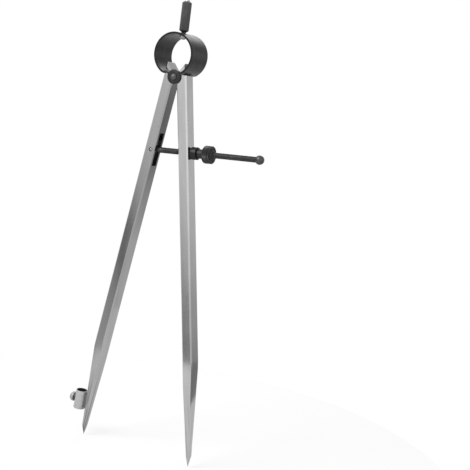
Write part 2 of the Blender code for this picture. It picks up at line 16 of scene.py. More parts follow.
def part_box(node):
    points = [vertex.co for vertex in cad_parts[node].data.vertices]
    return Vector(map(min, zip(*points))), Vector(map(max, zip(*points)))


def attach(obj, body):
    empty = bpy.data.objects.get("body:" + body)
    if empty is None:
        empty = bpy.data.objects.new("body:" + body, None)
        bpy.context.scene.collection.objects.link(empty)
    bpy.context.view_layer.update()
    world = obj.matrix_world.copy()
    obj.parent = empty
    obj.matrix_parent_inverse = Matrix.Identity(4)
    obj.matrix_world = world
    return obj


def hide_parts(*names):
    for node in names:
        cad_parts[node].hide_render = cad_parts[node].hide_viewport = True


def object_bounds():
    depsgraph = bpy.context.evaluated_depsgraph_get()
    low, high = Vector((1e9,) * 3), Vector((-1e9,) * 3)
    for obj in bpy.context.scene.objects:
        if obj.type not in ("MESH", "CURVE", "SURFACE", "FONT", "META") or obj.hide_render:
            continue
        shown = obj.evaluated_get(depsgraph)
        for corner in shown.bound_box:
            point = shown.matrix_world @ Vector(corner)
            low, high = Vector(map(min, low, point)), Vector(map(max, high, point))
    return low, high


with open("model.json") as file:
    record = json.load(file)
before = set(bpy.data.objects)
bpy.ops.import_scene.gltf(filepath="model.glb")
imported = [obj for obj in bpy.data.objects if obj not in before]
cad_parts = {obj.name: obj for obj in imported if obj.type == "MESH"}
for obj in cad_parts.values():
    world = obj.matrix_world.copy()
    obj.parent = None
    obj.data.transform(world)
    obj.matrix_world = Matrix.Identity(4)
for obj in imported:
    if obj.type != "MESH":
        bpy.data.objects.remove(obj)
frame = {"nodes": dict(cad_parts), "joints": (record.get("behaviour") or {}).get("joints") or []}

CAD_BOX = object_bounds()
JOINTS = {joint["name"]: joint for joint in frame["joints"]}

# Where things turn, from the frame
PIVOT = Vector(JOINTS["left_leg_swing"]["pos_m"])
PIN = Vector(JOINTS["spindle_swivel"]["pos_m"])
SPINDLE_DIRECTION = Vector(JOINTS["nut_turn"]["axis"])
CLAMP_DIRECTION = Vector(JOINTS["clamp_screw_turn"]["axis"])
CLAMP_SEAT = Vector(JOINTS["clamp_screw_turn"]["pos_m"])

# Each leg's lean at rest, and its length from the pivot to its point
HALF_ANGLE = radians(9.15)
LEG_LENGTH = 0.300

# Easing of edges, the least distance between two points of a mesh, and a length past any size here
EASED_EDGE = 0.00012
EASED_BOW_EDGE = 0.0002
WELD = 0.000002
FAR = 100000

# Relief of each finish
GROUND_RELIEF = 0.000012
OXIDE_RELIEF = 0.00001
PLATED_RELIEF = 0.00002

# Least angle at which two faces stay separate, and least angle at which an edge is eased
FLAT_ANGLE = radians(0.4)
SHARP_ANGLE = radians(30)

# Least angles at which an edge shows as a crease, on plain, knurled, and fluted or threaded pieces
CREASE = radians(35)
KNURLED_CREASE = radians(45)
FLUTED_CREASE = radians(50)

# Painted shade inside a leg's slot: its middle in the leg's frame, and half its size
SLOT_SHADE_PLACE = Vector((0.0054, 0, -0.0610))
SLOT_SHADE = (0.0040, 0.00325, 0.0101)

# Threads of the spindle and the clamp screw
SPINDLE_RADIUS = 0.0022
SPINDLE_PITCH = 0.0007
CLAMP_RADIUS = 0.0015
CLAMP_PITCH = 0.0005
THREAD_DEPTH_SHARE = 0.38

# Spindle: eye, smooth neck and ball
EYE_RADIUS = 0.0028
EYE_HALF = 0.0028
EYE_BORE_RADIUS = 0.00155
NECK_LENGTH = 0.0065
BALL_RADIUS = 0.0035
BALL_BORE_RADIUS = 0.0025

# Handle: a fluted grip with a neck and tail below it and a tip above it, painted pale as a highlight
TIP_ROOT_RADIUS = 0.0020
TIP_RADIUS = 0.0016
TIP_HEIGHT = 0.0013
GRIP_RADIUS = 0.0036
GRIP_CHAMFER = 0.0009
GRIP_LEAD = 0.0013
FLUTE_COUNT = 24
FLUTE_DEPTH = 0.00028
HANDLE_NECK = 0.0018
HANDLE_TAIL = 0.0015
NECK_HEIGHT = 0.0004
HANDLE_HEIGHT = 0.0245

# Thrust washer and adjusting nut
WASHER_RADIUS = 0.0048
WASHER_CROWN = 0.0006
WASHER_EDGE = 0.0005
BORE_RADIUS = 0.0025
HUB_RADIUS = 0.0036
HUB_LENGTH = 0.0053
NUT_RADIUS = 0.0067
NUT_SHOULDER = 0.0008
NUT_EDGE = 0.0003
NUT_DISH_RADIUS = 0.0053
NUT_DISH_DEPTH = 0.0005
NUT_GROOVE_PLACE = 0.0018
NUT_GROOVE_WIDTH = 0.0011
NUT_GROOVE_DEPTH = 0.0004
NUT_BOSS_RADIUS = 0.0035
NUT_BOSS_HEIGHT = 0.0010
KNURL_COUNT = 48
KNURL_DEPTH = 0.00035

# Pivot rivet, pencil sleeve and clamp screw
RIVET_RADIUS = 0.0016
RIVET_HEAD_RADIUS = 0.0025
RIVET_HEAD_HEIGHT = 0.0013
SLEEVE_BORE_RADIUS = 0.00395
SLEEVE_REACH = 0.0056
CLAMP_HEAD_RADIUS = 0.0038
CLAMP_RIM = 0.0018
CLAMP_DOME = 0.0024
CLAMP_SLOT_WIDTH = 0.0009
CLAMP_SLOT_DEPTH = 0.0007

# Facets round a turned piece, round one flute or one ridge, across an eased edge and along arcs
FINE = 96
SMALL = 64
THREAD_STEPS = 24
FLUTE_STEPS = 8
KNURL_STEPS = 6
BALL_STEPS = 24
CAP_STEPS = 10
CROWN_STEPS = 6
ROUND_STEPS = 3
EASED_STEPS = 2

# Turns of thread past both ends, which are trimmed off
SPARE_TURNS = 3

# Camera, fitted to the photograph
CAMERA_YAW = radians(25.337)
CAMERA_PITCH = radians(8.075)
CAMERA_ROLL = radians(-7.371)
CAMERA_DISTANCE = 0.73908
CAMERA_AIM = Vector((0.063806, 0, -0.109856))
CAMERA_LENS = 76.136
SENSOR_WIDTH = 36

# Floor, and how much of it is plain white
FLOOR_RADIUS = 0.26
FLOOR_DROP = 0.0002
FLOOR_WHITE_SHARE = 0.6

# The front's bands in the surround: the sideways direction that they slope about, and how steeply
BAND_CENTRE = -0.515
BAND_SLOPE = 1.3

# Lamps: the place, what it shines at, its side and its power
KEY_LAMP = ((-0.35, -0.55, 0.45), (0, 0, -0.12), 0.45, 4)
RIM_LAMP = ((-0.15, 0.65, 0.30), (0, 0, -0.05), 0.35, 0.6)


class Value:
    """A socket of a shader, so that shader maths can be written as expressions."""

    def __init__(self, shader, socket):
        self.shader = shader
        self.socket = socket

    def __add__(self, other):
        return self.shader.maths("ADD", self, other)

    __radd__ = __add__

    def __sub__(self, other):
        return self.shader.maths("SUBTRACT", self, other)

    def __rsub__(self, other):
        return self.shader.maths("SUBTRACT", other, self)

    def __mul__(self, other):
        return self.shader.maths("MULTIPLY", self, other)

    __rmul__ = __mul__

    def __truediv__(self, other):
        return self.shader.maths("DIVIDE", self, other)


class Shader:
    """A node tree of a material or the world, built one node at a time."""

    def __init__(self, tree):
        self.tree = tree
        self.tree.nodes.clear()

    def node(self, kind, settings=None, sockets=None, output=0):
        """Adds a node with its settings, then the values or links of its sockets."""
        made = self.tree.nodes.new("ShaderNode" + kind)
        for key, value in (settings or {}).items():
            if key == "stops":
                self.set_stops(made.color_ramp, value)
            else:
                setattr(made, key, value)
        for key, value in (sockets or {}).items():
            if isinstance(value, Value):
                self.tree.links.new(value.socket, made.inputs[key])
            else:
                made.inputs[key].default_value = value
        return Value(self, made.outputs[output]) if made.outputs else None

    @staticmethod
    def set_stops(ramp, stops):
        """Sets a colour ramp's stops, given as (place, grey) pairs."""
        while len(ramp.elements) < len(stops):
            ramp.elements.new(1.0)
        for element, (place, grey) in zip(ramp.elements, stops):
            element.position = place
            element.color = (grey, grey, grey, 1)

    def maths(self, operation, first, second):
        """One step of shader maths."""
        return self.node("Math", {"operation": operation}, {0: first, 1: second})

    def object_place(self, origin=(0, 0, 0), turn=(0, 0, 0), stretch=(1, 1, 1)):
        """The object's coordinates, seen from an origin and a turn, and divided by a stretch."""
        place = self.node("TexCoord", output="Object")
        return self.node("Mapping", {"vector_type": "TEXTURE"},
                         {"Vector": place, "Location": origin, "Rotation": turn, "Scale": stretch})

    def noise(self, place, scale, detail=3.0, roughness=0.5):
        """Smooth noise from 0 to 1."""
        return self.node("TexNoise", None, {"Vector": place, "Scale": scale, "Detail": detail,
                                            "Roughness": roughness})

    def ramp(self, value, *stops):
        """A grey that follows stops of (place, grey)."""
        return self.node("ValToRGB", {"stops": stops}, {"Fac": value})

    def mix(self, share, first, second):
        """A colour between two others."""
        return self.node("Mix", {"data_type": "RGBA"}, {0: share, 6: first, 7: second}, output=2)

    def bump(self, height, distance, strength=1.0):
        """A surface normal raised by a height."""
        return self.node("Bump", None, {"Height": height, "Distance": distance, "Strength": strength})

    def surface(self, colour, roughness, normal, metallic=1.0):
        """The shader that covers a piece."""
        sockets = {"Base Color": colour, "Roughness": roughness, "Normal": normal, "Metallic": metallic}
        bsdf = self.node("BsdfPrincipled", None, sockets)
        self.node("OutputMaterial", None, {"Surface": bsdf})


def new_shader(name):
    """A material with an empty node tree."""
    material = bpy.data.materials.new(name)
    material.use_nodes = True
    return material, Shader(material.node_tree)


def grey(level, warmth=0.0):
    """A neutral colour, made a little warmer or cooler."""
    return (level * (1 + warmth), level, level * (1 - warmth), 1)


def slot_shade_middle(side):
    """The middle of the painted shade in a leg's slot, which ends short of its bright upper run-out."""
    across = side * SLOT_SHADE_PLACE.x
    return PIVOT + Matrix.Rotation(-side * HALF_ANGLE, 3, "Y") @ Vector((across, 0, SLOT_SHADE_PLACE.z))


def ground_steel(name, side=0, tone=0.58, point_shade=0.5):
    """Bright steel with grinding lines, faint clouding and small dark specks. On a leg the lines run
    along it, dark streaks of painted shade lie near its point, and the inside of its slot is painted
    dark, a painted shade."""
    material, paint = new_shader(name)
    origin = PIVOT if side else (0, 0, 0)
    turn = (0, -side * HALF_ANGLE, 0)
    lines = paint.noise(paint.object_place(origin, turn, (1, 1, 40)), 4200, 2.0)
    broad = paint.noise(paint.object_place(origin, turn, (1, 1, 14)), 900, 3.0)
    cloud = paint.noise(paint.object_place(origin, turn, (1, 1, 3)), 95, 4.0, 0.55)
    speck = paint.ramp(paint.noise(paint.object_place(origin, turn), 1500, 2.0), (0.27, 1), (0.33, 0))
    base = paint.mix(paint.ramp(cloud, (0.3, 0), (0.7, 1)), grey(tone * 0.92), grey(tone * 1.08))
    streaked = paint.mix(lines * 0.35, base, grey(tone * 0.8))
    colour = paint.mix(speck * 0.45, streaked, grey(tone * 0.4))
    roughness = 0.08 + lines * 0.05 + cloud * 0.05 + speck * 0.2
    if side:
        # Painted shade near a leg's point: dark streaks, mixed in by the share given for each leg.
        along = paint.node("SeparateXYZ", None, {0: paint.object_place(origin, turn)}, output="Z")
        near_point = paint.ramp(along / -LEG_LENGTH, (0.80, 0), (0.93, 1))
        streaks = paint.noise(paint.object_place(origin, turn, (1, 1, 60)), 620, 1.0)
        colour = paint.mix(near_point * paint.ramp(streaks, (0.46, 0), (0.56, 1)) * point_shade, colour,
                           grey(tone * 0.3))
        # Painted shade: inside the slot the steel is painted near black and made rougher.
        depth = paint.node("VectorMath", {"operation": "ABSOLUTE"},
                           {0: paint.object_place(slot_shade_middle(side), turn, SLOT_SHADE)})
        inside = [paint.maths("LESS_THAN", paint.node("SeparateXYZ", None, {0: depth}, output=axis), 1)
                  for axis in "XYZ"]
        shade = inside[0] * inside[1] * inside[2]
        colour = paint.mix(shade, colour, grey(0.1))
        roughness = roughness + shade * 0.3
    normal = paint.bump(lines + broad * 0.8 + cloud * 0.5, GROUND_RELIEF, 0.18)
    paint.surface(colour, roughness, normal)
    return material


def black_oxide(name, origin=(0, 0, 0), stretch=(1, 1, 1), tone=0.05, polish=0.36, highlight_above=None,
                edge_shade_beyond=None):
    """Steel blackened in hot oxide: dark and satin, with fine draw lines and paler rubbed patches.
    Above a given height it is painted pale grey, a painted highlight, as on the handle's tip. Beyond a
    given distance in front and behind, as on the bow's sheared edges, it is painted nearly black, a
    painted shade, and made dull."""
    material, paint = new_shader(name)
    lines = paint.noise(paint.object_place(origin, (0, 0, 0), stretch), 3600, 2.0)
    cloud = paint.noise(paint.object_place(origin), 180, 4.0, 0.6)
    grain = paint.noise(paint.object_place(origin), 5200, 1.0)
    rubbed = paint.ramp(cloud, (0.48, 0), (0.72, 1))
    base = paint.mix(rubbed * 0.5, grey(tone, -0.01), grey(tone * 1.9, 0.01))
    colour = paint.mix(lines * 0.3, base, grey(tone * 0.6))
    # Painted highlight: above the given height the colour is pale grey.
    if highlight_above is not None:
        height = paint.node("SeparateXYZ", None, {0: paint.object_place()}, output="Z")
        colour = paint.mix(paint.maths("GREATER_THAN", height, highlight_above), colour, grey(0.6))
    roughness = polish - rubbed * 0.05 + lines * 0.08 + grain * 0.05
    # Painted shade: beyond the given depth, on the bow's edge faces, the colour is nearly black.
    if edge_shade_beyond is not None:
        depth = paint.node("SeparateXYZ", None, {0: paint.object_place()}, output="Y")
        edge = paint.maths("GREATER_THAN", paint.maths("ABSOLUTE", depth, 0), edge_shade_beyond)
        colour = paint.mix(edge, colour, grey(0.02))
        roughness = roughness + edge * 0.2
    normal = paint.bump(lines * 0.6 + grain * 0.5 + cloud * 0.4, OXIDE_RELIEF, 0.6)
    paint.surface(colour, roughness, normal, metallic=0.75)
    return material


def plated_steel(name, tone=0.62, polish=0.36, bore=None, metallic=1.0):
    """Pale plated steel with a slightly grainy skin and faint stains. Inside a bore, given by its
    centre, tilt and radius, the skin is painted nearly black, a painted shade, and made dull."""
    material, paint = new_shader(name)
    grain = paint.noise(paint.object_place(), 2600, 3.0, 0.6)
    cloud = paint.noise(paint.object_place(), 260, 4.0, 0.55)
    stain = paint.ramp(cloud, (0.52, 0), (0.75, 1))
    base = paint.mix(grain * 0.35, grey(tone, 0.004), grey(tone * 0.78, 0.006))
    colour = paint.mix(stain * 0.4, base, grey(tone * 0.62, 0.02))
    roughness = polish + grain * 0.12 + stain * 0.1
    # Painted shade: inside the bore the colour is nearly black.
    if bore:
        centre, tilt, radius = bore
        across = paint.object_place(centre, (0, tilt, 0), (1, 1, FAR))
        distance = paint.node("VectorMath", {"operation": "LENGTH"}, {0: across}, output="Value")
        inside = paint.maths("LESS_THAN", distance, radius)
        colour = paint.mix(inside, colour, grey(0.02))
        roughness = roughness + inside * 0.3
    normal = paint.bump(grain + cloud * 0.6, PLATED_RELIEF, 0.6)
    paint.surface(colour, roughness, normal, metallic)
    return material


def piece(name, mesh, material, body, nodes, crease=CREASE):
    """Makes a mesh one piece that rides on its body and stands for the frame's nodes."""
    data = bpy.data.meshes.new(name)
    mesh.to_mesh(data)
    mesh.free()
    data.shade_smooth()
    data.set_sharp_from_angle(angle=crease)
    data.materials.append(material)
    made = bpy.data.objects.new(name, data)
    bpy.context.collection.objects.link(made)
    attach(made, body)
    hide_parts(*nodes)
    return made


def eased(node, width):
    """A copy of a frame's solid, with its flat faces whole and its sharp edges rounded off."""
    mesh = bmesh.new()
    mesh.from_mesh(frame["nodes"][node].data)
    bmesh.ops.remove_doubles(mesh, verts=mesh.verts[:], dist=WELD)
    bmesh.ops.dissolve_limit(mesh, angle_limit=FLAT_ANGLE, verts=mesh.verts[:], edges=mesh.edges[:])
    bmesh.ops.recalc_face_normals(mesh, faces=mesh.faces[:])
    edges = [edge for edge in mesh.edges if edge.calc_face_angle(0) > SHARP_ANGLE]
    bmesh.ops.bevel(mesh, geom=edges, offset=width, segments=EASED_STEPS, profile=0.5,
                    affect="EDGES", material=-1, clamp_overlap=True)
    return mesh


def evened(made):
    """Keeps broad faces flat beside their eased edges."""
    modifier = made.modifiers.new("evened", "WEIGHTED_NORMAL")
    modifier.keep_sharp = True
    modifier.weight = 90


def span(node, place, direction):
    """How far a frame's solid reaches along a line: (nearest, farthest) from a place on it."""
    reaches = [(vertex.co - place).dot(direction) for vertex in frame["nodes"][node].data.vertices]
    return min(reaches), max(reaches)


def turned(profile, segments=FINE, bored=False):
    """Spins (radius, height) points about Z, and closes the ends on the axis."""
    mesh = bmesh.new()
    points = [mesh.verts.new((radius, 0, height)) for radius, height in profile]
    edges = [mesh.edges.new(pair) for pair in zip(points, points[1:])]
    if bored:
        edges.append(mesh.edges.new((points[-1], points[0])))
    bmesh.ops.spin(mesh, geom=points + edges, axis=(0, 0, 1), cent=(0, 0, 0), angle=2 * pi,
                   steps=segments, use_merge=True)
    bmesh.ops.remove_doubles(mesh, verts=mesh.verts[:], dist=WELD)
    bmesh.ops.recalc_face_normals(mesh, faces=mesh.faces[:])
    return mesh


def rounded(corners, radius, closed=False):
    """Rounds the corners of a profile with small arcs, and leaves its end points alone."""
    count = len(corners)
    points = []
    for index, corner in enumerate(corners):
        here = Vector(corner)
        if not closed and index in (0, count - 1):
            points.append(here)
            continue
        before = Vector(corners[index - 1]) - here
        after = Vector(corners[(index + 1) % count]) - here
        reach = min(radius, before.length * 0.45, after.length * 0.45)
        start = here + before.normalized() * reach
        end = here + after.normalized() * reach
        for step in range(ROUND_STEPS + 1):
            share = step / ROUND_STEPS
            points.append(start * (1 - share) ** 2 + here * 2 * share * (1 - share) + end * share**2)
    return [tuple(point) for point in points]


def laid(mesh, direction, place):
    """Turns a mesh that was made about Z onto a direction, and moves its origin to a place."""
    turn = Vector((0, 0, 1)).rotation_difference(Vector(direction)).to_matrix().to_4x4()
    bmesh.ops.transform(mesh, matrix=Matrix.Translation(place) @ turn, verts=mesh.verts[:])
    return mesh


def cap(radius, height, base):
    """Profile points of a spherical cap, from its rim to the axis."""
    ball = (radius**2 + height**2) / (2 * height)
    half = asin(radius / ball)
    angles = [half * (1 - step / CAP_STEPS) for step in range(CAP_STEPS + 1)]
    return [(ball * sin(angle), base + height - ball * (1 - cos(angle))) for angle in angles]


def waved(mesh, count, depth, low, high, least_radius):
    """Presses flutes into what lies between two heights outside a radius."""
    for vertex in mesh.verts:
        radius = hypot(vertex.co.x, vertex.co.y)
        if low < vertex.co.z < high and radius > least_radius:
            angle = Vector((1, 0)).angle_signed(vertex.co.to_2d(), 0)
            inward = depth * (0.5 - 0.5 * cos(count * angle))
            vertex.co.xy *= (radius - inward) / radius


def thread(radius, pitch, low, high):
    """A closed rod along Z with a helical V thread, cut square at both ends."""
    depth = THREAD_DEPTH_SHARE * pitch
    root = radius - depth
    flat = pitch / 8
    turns = int((high - low) / pitch) + SPARE_TURNS
    heights = [0, flat, pitch / 2 - flat / 2, pitch / 2 + flat / 2, pitch]
    radii = [root, root, radius, radius, root]
    start = low - SPARE_TURNS / 2 * pitch
    mesh = bmesh.new()
    points = [mesh.verts.new((r, 0, start + h)) for r, h in zip(radii, heights)]
    edges = [mesh.edges.new(pair) for pair in zip(points, points[1:])]
    bmesh.ops.spin(mesh, geom=points + edges, axis=(0, 0, 1), cent=(0, 0, 0), angle=2 * pi * turns,
                   steps=turns * THREAD_STEPS, dvec=(0, 0, pitch / THREAD_STEPS))
    bmesh.ops.remove_doubles(mesh, verts=mesh.verts[:], dist=WELD)
    for height, way in ((low, -1), (high, 1)):
        everything = mesh.verts[:] + mesh.edges[:] + mesh.faces[:]
        bmesh.ops.bisect_plane(mesh, geom=everything, plane_co=(0, 0, height), plane_no=(0, 0, way),
                               clear_outer=True)
        bmesh.ops.holes_fill(mesh, edges=[edge for edge in mesh.edges if edge.is_boundary])
    bmesh.ops.recalc_face_normals(mesh, faces=mesh.faces[:])
    return mesh


def cut(made, tool, operation="DIFFERENCE"):
    """Cuts a piece with a mesh, and keeps only the result."""
    data = bpy.data.meshes.new("tool")
    tool.to_mesh(data)
    tool.free()
    cutter = bpy.data.objects.new("tool", data)
    bpy.context.collection.objects.link(cutter)
    modifier = made.modifiers.new("cut", "BOOLEAN")
    modifier.object = cutter
    modifier.operation = operation
    modifier.solver = "EXACT"
    graph = bpy.context.evaluated_depsgraph_get()
    result = bpy.data.meshes.new_from_object(made.evaluated_get(graph))
    made.modifiers.clear()
    old = made.data
    made.data = result
    bpy.data.objects.remove(cutter)
    bpy.data.meshes.remove(old)
    result.set_sharp_from_angle(angle=CREASE)


def legs():
    """Both legs, with the small flat of each arris worn round."""
    # Both legs are the same steel: the left leg's lower tone is painted shade, and so is its stronger
    # share of dark streaks near the point.
    for node, side, tone, point_shade in (("left_leg", -1, 0.49, 0.85), ("right_leg", 1, 0.61, 0.25)):
        mesh = eased(node, EASED_EDGE)
        finish = ground_steel(node + "_finish", side, tone, point_shade)
        evened(piece(node + "_ground", mesh, finish, node, [node]))


def bow():
    """The bow spring, with its sheared edges rounded off."""
    low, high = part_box("bow_spring")
    centre = Vector(((low.x + high.x) / 2, 0, high.z - (high.x - low.x) / 2))
    # The bow's front and back edge faces get painted shade.
    finish = black_oxide("bow_finish", centre, (1, 30, 1), tone=0.045, polish=0.34,
                         edge_shade_beyond=high.y - EASED_BOW_EDGE)
    band = eased("bow_spring", EASED_BOW_EDGE)
    evened(piece("bow_band", band, finish, "bow", ["bow_spring"]))


def handle():
    """The fluted grip with its tip, neck and tail, and the nut under the bow."""
    low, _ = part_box("handle")
    foot = -HANDLE_HEIGHT
    shoulder = foot + NECK_HEIGHT
    rim = -TIP_HEIGHT
    corners = [
        (0, low.z),
        (HANDLE_TAIL, low.z),
        (HANDLE_TAIL, foot),
        (HANDLE_NECK, foot),
        (HANDLE_NECK, shoulder),
        (GRIP_RADIUS, shoulder + GRIP_LEAD),
        (GRIP_RADIUS, rim - GRIP_CHAMFER),
        (TIP_ROOT_RADIUS, rim),
        (TIP_RADIUS, 0),
        (0, 0),
    ]
    mesh = turned(rounded(corners, EASED_EDGE * 2), FLUTE_COUNT * FLUTE_STEPS)
    waved(mesh, FLUTE_COUNT, FLUTE_DEPTH, shoulder + GRIP_LEAD / 2, rim - GRIP_CHAMFER / 2, HANDLE_NECK)
    # The tip above the rim gets the painted highlight.
    finish = black_oxide("handle_finish", (0, 0, 0), (1, 1, 20), tone=0.09, polish=0.4,
                         highlight_above=rim + EASED_EDGE)
    piece("handle_grip", mesh, finish, "bow", ["handle"], FLUTED_CREASE)
    nut = eased("handle_nut", EASED_EDGE)
    finish = plated_steel("handle_nut_finish", 0.85, metallic=0.4)
    evened(piece("handle_fixing", nut, finish, "bow", ["handle_nut"]))


def pivot():
    """The discs, the roller and the rivet with its domed heads."""
    for node in ("front_pivot_disc", "rear_pivot_disc"):
        finish = black_oxide(node + "_finish", PIVOT, tone=0.04)
        piece(node + "_cover", eased(node, EASED_EDGE), finish, "pivot", [node])
    roller = eased("pivot_roller", EASED_EDGE)
    piece("pivot_core", roller, ground_steel("pivot_roller_finish"), "pivot",
          ["pivot_roller"])
    seat = span("pivot_rivet", PIVOT, Vector((0, 1, 0)))[1] - RIVET_HEAD_HEIGHT
    upper = [(RIVET_RADIUS, seat)] + cap(RIVET_HEAD_RADIUS, RIVET_HEAD_HEIGHT, seat)
    lower = [(radius, -height) for radius, height in reversed(upper)]
    mesh = laid(turned(lower + upper, SMALL), (0, -1, 0), PIVOT)
    finish = black_oxide("pivot_rivet_finish", PIVOT, tone=0.12, polish=0.42)
    piece("pivot_rivet_heads", mesh, finish, "pivot", ["pivot_rivet"])


def bar(radius, low, high, eased_edge=EASED_EDGE):
    """A plain round bar along Z with eased ends."""
    return turned(rounded([(0, low), (radius, low), (radius, high), (0, high)], eased_edge), SMALL)


def spindle():
    """The threaded rod with its eye, the ball at its end and the cross pin."""
    _, reach = span("spindle", PIN, SPINDLE_DIRECTION)
    rod = thread(SPINDLE_RADIUS, SPINDLE_PITCH, NECK_LENGTH, reach)
    neck = bar(SPINDLE_RADIUS, 0, NECK_LENGTH + SPINDLE_PITCH / 2)
    eye = bar(EYE_RADIUS, -EYE_HALF, EYE_HALF, EASED_EDGE * 2)
    bore = bar(EYE_BORE_RADIUS, -2 * EYE_HALF, 2 * EYE_HALF)
    finish = black_oxide("spindle_finish", PIN, (20, 1, 1), tone=0.06, polish=0.34)
    made = piece("spindle_thread", laid(rod, SPINDLE_DIRECTION, PIN), finish, "spindle",
                 ["spindle"], FLUTED_CREASE)
    cut(made, laid(neck, SPINDLE_DIRECTION, PIN), "UNION")
    cut(made, laid(eye, (0, 1, 0), PIN), "UNION")
    cut(made, laid(bore, (0, 1, 0), PIN))

    _, end = span("spindle_ball", PIN, SPINDLE_DIRECTION)
    centre = PIN + SPINDLE_DIRECTION * (end - BALL_RADIUS)
    start = asin(BALL_BORE_RADIUS / BALL_RADIUS)
    angles = [start + (pi - start) * step / BALL_STEPS for step in range(BALL_STEPS + 1)]
    skin = [(BALL_RADIUS * sin(angle), -BALL_RADIUS * cos(angle)) for angle in angles]
    ball = turned([(0, 0), (BALL_BORE_RADIUS, 0)] + skin, SMALL)
    finish = black_oxide("spindle_ball_finish", centre, tone=0.085, polish=0.3)
    piece("spindle_knob", laid(ball, SPINDLE_DIRECTION, centre), finish, "spindle",
          ["spindle_ball"])

    pin = eased("spindle_pin", EASED_EDGE / 2)
    # The pin takes the left leg's finish, so its middle inside the slot gets the slot's painted shade.
    finish = ground_steel("spindle_pin_finish", -1, 0.46)
    piece("spindle_cross_pin", pin, finish, "left_leg", ["spindle_pin"])


def washer_and_nut():
    """The thrust washer, and the adjusting nut with its knurled and grooved rim."""
    low, high = span("thrust_washer", PIN, SPINDLE_DIRECTION)
    thick = high - low
    crown = [(WASHER_RADIUS - WASHER_CROWN * (1 - cos(angle)), WASHER_CROWN * (1 - sin(angle)))
             for angle in [pi / 2 * step / CROWN_STEPS for step in range(CROWN_STEPS + 1)]]
    rim = rounded([(BORE_RADIUS, thick), (WASHER_RADIUS, thick), crown[0]], WASHER_EDGE)[:-1]
    mesh = turned(rim + crown + [(BORE_RADIUS, 0)], bored=True)
    finish = black_oxide("thrust_washer_finish", PIN, tone=0.026, polish=0.34)
    laid(mesh, SPINDLE_DIRECTION, PIN + SPINDLE_DIRECTION * low)
    piece("thrust_collar", mesh, finish, "washer", ["thrust_washer"])

    low, high = span("adjusting_nut", PIN, SPINDLE_DIRECTION)
    front = high - low - NUT_BOSS_HEIGHT
    groove = front - NUT_GROOVE_PLACE
    core = NUT_RADIUS - NUT_GROOVE_DEPTH
    corners = [
        (BORE_RADIUS, 0),
        (HUB_RADIUS, 0),
        (HUB_RADIUS, HUB_LENGTH),
        (NUT_RADIUS - NUT_SHOULDER, HUB_LENGTH),
        (NUT_RADIUS, HUB_LENGTH + NUT_SHOULDER),
        (NUT_RADIUS, groove - NUT_GROOVE_WIDTH / 2),
        (core, groove),
        (NUT_RADIUS, groove + NUT_GROOVE_WIDTH / 2),
        (NUT_RADIUS, front - NUT_EDGE),
        (NUT_RADIUS - NUT_EDGE, front),
        (NUT_DISH_RADIUS, front),
        (NUT_DISH_RADIUS - NUT_DISH_DEPTH, front - NUT_DISH_DEPTH),
        (NUT_BOSS_RADIUS + NUT_DISH_DEPTH, front - NUT_DISH_DEPTH),
        (NUT_BOSS_RADIUS, front + NUT_BOSS_HEIGHT),
        (BORE_RADIUS, front + NUT_BOSS_HEIGHT),
    ]
    outline = rounded(corners, EASED_EDGE * 2, closed=True)
    mesh = turned(outline, KNURL_COUNT * KNURL_STEPS, bored=True)
    waved(mesh, KNURL_COUNT, KNURL_DEPTH, HUB_LENGTH + NUT_SHOULDER / 2, front - NUT_EDGE / 2, core)
    finish = black_oxide("adjusting_nut_finish", PIN, tone=0.046, polish=0.36)
    laid(mesh, SPINDLE_DIRECTION, PIN + SPINDLE_DIRECTION * low)
    piece("adjusting_thumbnut", mesh, finish, "nut", ["adjusting_nut"], KNURLED_CREASE)


def sleeve():
    """The pencil sleeve, its saddle and bush, and the clamp screw."""
    tube = eased("pencil_sleeve", EASED_EDGE)
    centre = CLAMP_SEAT - CLAMP_DIRECTION * SLEEVE_REACH
    tilt = asin(CLAMP_DIRECTION.z)
    # The pencil bore gets painted shade.
    finish = plated_steel("pencil_sleeve_finish", 0.53, 0.5,
                          (centre, tilt, SLEEVE_BORE_RADIUS + EASED_EDGE), 0.55)
    piece("pencil_tube", tube, finish, "left_leg", ["pencil_sleeve"])
    saddle = eased("sleeve_saddle", EASED_EDGE)
    # The saddle is plated steel like the sleeve; its much darker tone is painted shade, for the shadow
    # line between sleeve and leg.
    piece("sleeve_bracket", saddle, plated_steel("sleeve_saddle_shaded_finish", 0.2, 0.45), "left_leg",
          ["sleeve_saddle"])
    bush = eased("clamp_bush", EASED_EDGE)
    piece("clamp_collar", bush, black_oxide("clamp_bush_finish", tone=0.08), "left_leg",
          ["clamp_bush"])

    tip, _ = span("clamp_screw", CLAMP_SEAT, CLAMP_DIRECTION)
    head = cap(CLAMP_HEAD_RADIUS, CLAMP_DOME, CLAMP_RIM)
    profile = rounded([(0, 0), (CLAMP_HEAD_RADIUS, 0), head[0]], EASED_EDGE * 2)[:-1] + head
    finish = plated_steel("clamp_screw_finish", 0.42, 0.45, metallic=0.6)
    made = piece("clamp_screw_head", laid(turned(profile, SMALL), CLAMP_DIRECTION, CLAMP_SEAT), finish,
                 "clamp_screw", ["clamp_screw"], FLUTED_CREASE)
    shank = thread(CLAMP_RADIUS, CLAMP_PITCH, tip, CLAMP_RIM / 2)
    cut(made, laid(shank, CLAMP_DIRECTION, CLAMP_SEAT), "UNION")
    top = CLAMP_RIM + CLAMP_DOME
    slot = bmesh.new()
    bmesh.ops.create_cube(slot, size=1, matrix=Matrix.Translation((0, 0, top)) @ Matrix.Diagonal(
        (CLAMP_SLOT_WIDTH, 4 * CLAMP_HEAD_RADIUS, 2 * CLAMP_SLOT_DEPTH, 1)))
    cut(made, laid(slot, CLAMP_DIRECTION, CLAMP_SEAT))


